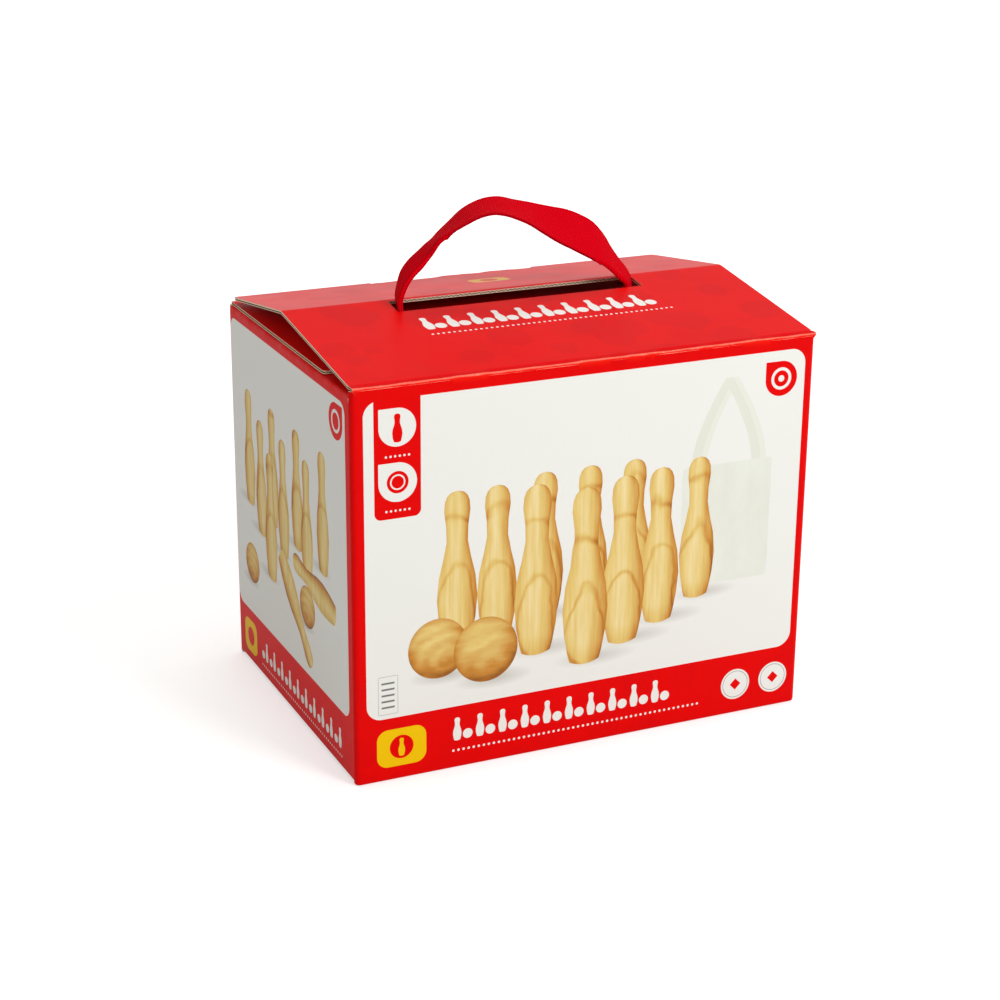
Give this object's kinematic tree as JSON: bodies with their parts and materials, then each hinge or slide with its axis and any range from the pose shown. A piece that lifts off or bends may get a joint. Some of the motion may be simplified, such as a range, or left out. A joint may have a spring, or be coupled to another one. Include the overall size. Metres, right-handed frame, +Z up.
{
  "type": "boxed wooden bowling set",
  "caption": "Printed carrying carton with a webbing handle and folding lid, holding turned wooden pins, balls and a folded cotton bag.",
  "frame": {"origin": "middle of the carton's base, on the surface it stands on", "axes": "+Z up, the printed front faces -Y, +X to the right seen from the front"},
  "size_m": [0.237, 0.172, 0.2476],
  "materials": {
    "printed_board": "varnished red and white print on fine fluted board",
    "plain_board": "unprinted fluted board",
    "webbing": "woven red webbing",
    "bar_plastic": "moulded",
    "pin_wood": "plain turned and lacquered beech",
    "ball_wood": "turned and lacquered beech",
    "cotton": "natural cotton cloth",
    "cotton_tape": "natural cotton tape"
  },
  "bodies": {
    "carton": {"front_wall": "printed_board", "back_wall": "printed_board", "left_wall": "printed_board", "right_wall": "printed_board", "glue_tab": "plain_board", "bottom_flap_front": "plain_board", "bottom_flap_back": "plain_board", "bottom_flap_left": "plain_board", "bottom_flap_right": "plain_board"},
    "lid_front": {"lid_front_panel": "printed_board", "carry_strap": "webbing", "strap_bar_left": "bar_plastic", "strap_bar_right": "bar_plastic"},
    "lid_back": {"lid_back_panel": "printed_board"},
    "lock_tab": {"lock_tab": "printed_board"},
    "inner_flap": {"inner_flap": "printed_board"},
    "dust_flap_left": {"dust_flap_left": "printed_board"},
    "dust_flap_right": {"dust_flap_right": "printed_board"},
    "pin_01": {"pin_01": "pin_wood"},
    "pin_02": {"pin_02": "pin_wood"},
    "pin_03": {"pin_03": "pin_wood"},
    "pin_04": {"pin_04": "pin_wood"},
    "pin_05": {"pin_05": "pin_wood"},
    "pin_06": {"pin_06": "pin_wood"},
    "pin_07": {"pin_07": "pin_wood"},
    "pin_08": {"pin_08": "pin_wood"},
    "pin_09": {"pin_09": "pin_wood"},
    "pin_10": {"pin_10": "pin_wood"},
    "ball_1": {"ball_1": "ball_wood"},
    "ball_2": {"ball_2": "ball_wood"},
    "bag": {"bag": "cotton", "bag_handle_front": "cotton_tape", "bag_handle_back": "cotton_tape"}
  },
  "joints": [
    {"name": "lid_fold", "type": "hinge", "parent": "carton", "child": "lid_front", "pos_m": [0, -0.0847, 0.1899], "axis": [1, 0, 0], "range_deg": [0, 200]},
    {"name": "ridge_fold", "type": "hinge", "parent": "lid_front", "child": "lid_back", "pos_m": [0, 0.00595, 0.2023], "axis": [1, 0, 0], "range_deg": [0, 16.31]},
    {"name": "lock_tab_fold", "type": "hinge", "parent": "lid_back", "child": "lock_tab", "pos_m": [0, 0.078, 0.1915], "axis": [1, 0, 0], "range_deg": [0, 50]},
    {"name": "inner_flap_fold", "type": "hinge", "parent": "carton", "child": "inner_flap", "pos_m": [0, 0.0847, 0.1881], "axis": [-1, 0, 0], "range_deg": [0, 80]},
    {"name": "dust_flap_left_fold", "type": "hinge", "parent": "carton", "child": "dust_flap_left", "pos_m": [-0.1172, 0, 0.1863], "axis": [0, -1, 0], "range_deg": [0, 64]},
    {"name": "dust_flap_right_fold", "type": "hinge", "parent": "carton", "child": "dust_flap_right", "pos_m": [0.1172, 0, 0.1863], "axis": [0, 1, 0], "range_deg": [0, 64]},
    {"name": "pin_01_lift", "type": "slide", "parent": "carton", "child": "pin_01", "axis": [0, 0, 1], "range_m": [0, 0.01]},
    {"name": "pin_02_lift", "type": "slide", "parent": "carton", "child": "pin_02", "axis": [0, 0, 1], "range_m": [0, 0.01]},
    {"name": "pin_03_lift", "type": "slide", "parent": "carton", "child": "pin_03", "axis": [0, 0, 1], "range_m": [0, 0.01]},
    {"name": "pin_04_lift", "type": "slide", "parent": "carton", "child": "pin_04", "axis": [0, 0, 1], "range_m": [0, 0.01]},
    {"name": "pin_05_lift", "type": "slide", "parent": "carton", "child": "pin_05", "axis": [0, 0, 1], "range_m": [0, 0.01]},
    {"name": "pin_06_lift", "type": "slide", "parent": "carton", "child": "pin_06", "axis": [0, 0, 1], "range_m": [0, 0.01]},
    {"name": "pin_07_lift", "type": "slide", "parent": "carton", "child": "pin_07", "axis": [0, 0, 1], "range_m": [0, 0.01]},
    {"name": "pin_08_lift", "type": "slide", "parent": "carton", "child": "pin_08", "axis": [0, 0, 1], "range_m": [0, 0.01]},
    {"name": "pin_09_lift", "type": "slide", "parent": "carton", "child": "pin_09", "axis": [0, 0, 1], "range_m": [0, 0.01]},
    {"name": "pin_10_lift", "type": "slide", "parent": "carton", "child": "pin_10", "axis": [0, 0, 1], "range_m": [0, 0.01]},
    {"name": "ball_1_lift", "type": "slide", "parent": "carton", "child": "ball_1", "axis": [0, 0, 1], "range_m": [0, 0.1]},
    {"name": "ball_2_lift", "type": "slide", "parent": "carton", "child": "ball_2", "axis": [0, 0, 1], "range_m": [0, 0.1]},
    {"name": "bag_lift", "type": "slide", "parent": "carton", "child": "bag", "axis": [0, 0, 1], "range_m": [0, 0.03]}
  ],
  "couplings": [
    {"joint": "ridge_fold", "follows": "lid_fold", "ratio": 0.08155},
    {"joint": "lock_tab_fold", "follows": "lid_fold", "ratio": 0.25},
    {"joint": "inner_flap_fold", "follows": "lid_fold", "ratio": 0.4},
    {"joint": "dust_flap_left_fold", "follows": "lid_fold", "ratio": 0.32},
    {"joint": "dust_flap_right_fold", "follows": "lid_fold", "ratio": 0.32}
  ]
}
